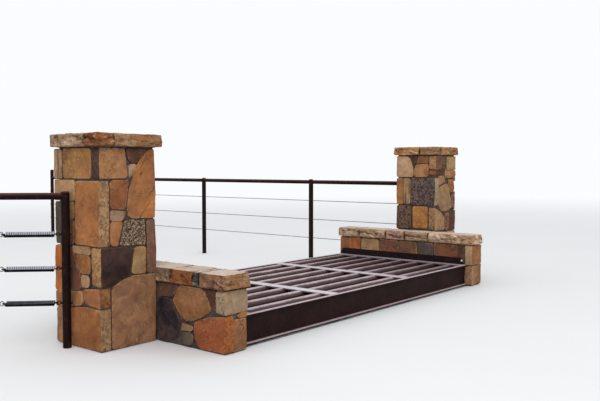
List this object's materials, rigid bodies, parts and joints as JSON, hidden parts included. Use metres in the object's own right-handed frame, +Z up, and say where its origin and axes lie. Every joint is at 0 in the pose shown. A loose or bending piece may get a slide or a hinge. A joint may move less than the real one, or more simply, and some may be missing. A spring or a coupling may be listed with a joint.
{
  "type": "cattle grid",
  "caption": "Cattle grid of steel pipes across a road, between stone wing walls with capped pillars and pipe fences running off.",
  "frame": {"origin": "on the ground plane, midway between the two wing walls and at half their length, which is the middle of the four anchor bolts", "axes": "+X across the road along the pipes, towards the far pillar; +Y along the road, towards the back; +Z up"},
  "size_m": [7.9688, 10.5915, 1.862],
  "materials": {
    "pipe_steel": "satin",
    "flange_steel": "satin",
    "dark_steel": "satin",
    "fence_steel": "satin",
    "spring_steel": "satin",
    "cable_wire": "satin",
    "masonry": "rough",
    "coping_stone": "rough"
  },
  "bodies": {
    "root": {"pipe_row_1": "pipe_steel", "pipe_row_2": "pipe_steel", "pipe_row_3": "pipe_steel", "pipe_row_4": "pipe_steel", "pipe_row_5": "pipe_steel", "pipe_row_6": "pipe_steel", "pipe_row_7": "pipe_steel", "pipe_row_8": "pipe_steel", "near_end_beam": "flange_steel", "near_stringer": "flange_steel", "far_stringer": "flange_steel", "far_end_beam": "flange_steel", "front_channel": "pipe_steel", "back_channel": "pipe_steel", "bearing_plates": "pipe_steel", "near_kick_plate": "dark_steel", "far_kick_plate": "dark_steel", "near_wall": "masonry", "far_wall": "masonry", "near_pillar": "masonry", "far_pillar": "masonry", "near_coping": "coping_stone", "far_coping": "coping_stone", "near_pillar_cap": "coping_stone", "far_pillar_cap": "coping_stone", "near_end_post": "fence_steel", "near_line_post": "fence_steel", "near_rail": "fence_steel", "far_post_1": "fence_steel", "far_post_2": "fence_steel", "far_post_3": "fence_steel", "far_post_4": "fence_steel", "far_rail": "fence_steel", "near_springs": "spring_steel", "near_cables": "cable_wire", "far_cables": "cable_wire", "near_cable_eyes": "cable_wire"}
  },
  "joints": []
}
